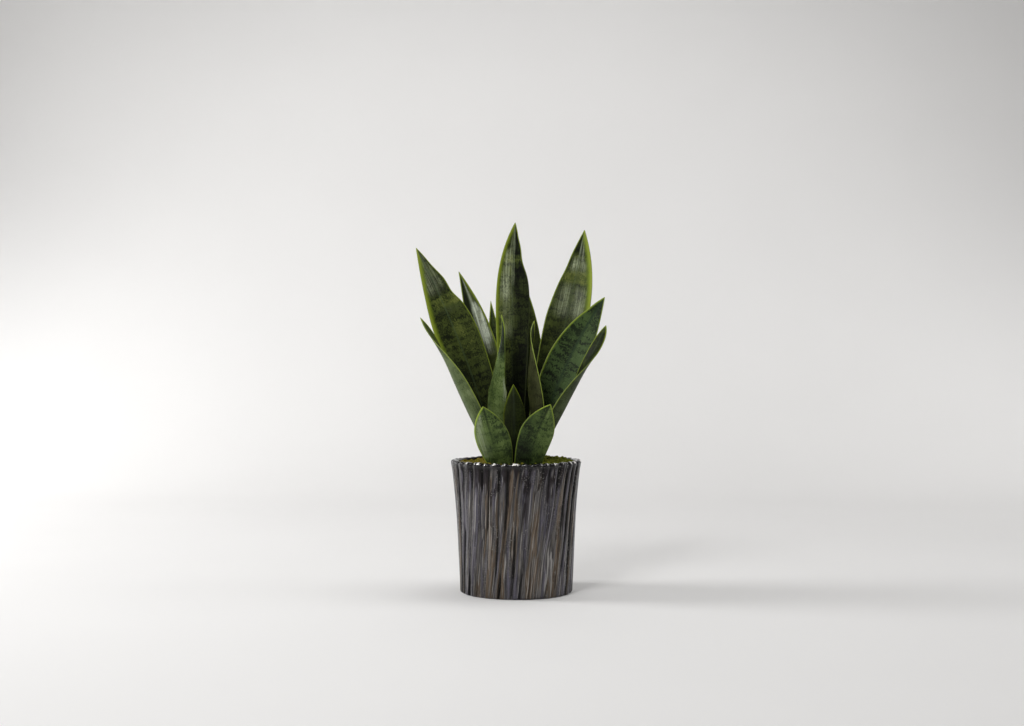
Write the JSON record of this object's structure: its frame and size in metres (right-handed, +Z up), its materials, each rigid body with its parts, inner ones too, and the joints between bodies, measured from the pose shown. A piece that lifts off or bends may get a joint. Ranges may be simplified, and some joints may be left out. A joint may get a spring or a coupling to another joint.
{
  "type": "potted snake plant",
  "caption": "Upright sword-leaved houseplant in a slightly flared, vertically ridged dark glazed pot, with moss over the soil; a free-standing decoration.",
  "frame": {"origin": "centre of the pot's flat foot, on the surface it stands on", "axes": "+Z up along the pot, -Y towards the front of the plant as pictured, +X to the viewer's right"},
  "size_m": [0.2692, 0.2028, 0.519],
  "materials": {
    "pot_glaze": "gloss",
    "potting_soil": "matte",
    "dry_moss": "matte",
    "leaf_skin": "satin"
  },
  "bodies": {
    "root": {"pot": "pot_glaze", "soil": "potting_soil", "moss": "dry_moss", "leaf_centre_tall": "leaf_skin", "leaf_left_tall": "leaf_skin", "leaf_right_tall": "leaf_skin", "leaf_right_mid": "leaf_skin", "leaf_left_back": "leaf_skin", "leaf_centre_back_left": "leaf_skin", "leaf_centre_back_right": "leaf_skin", "leaf_left_outer": "leaf_skin", "leaf_right_outer": "leaf_skin", "leaf_front_left": "leaf_skin", "leaf_front_right": "leaf_skin", "leaf_front_middle": "leaf_skin", "leaf_short_left": "leaf_skin", "leaf_short_right": "leaf_skin", "leaf_rear_tall": "leaf_skin", "leaf_rear_left": "leaf_skin", "leaf_rear_right": "leaf_skin"}
  },
  "joints": []
}
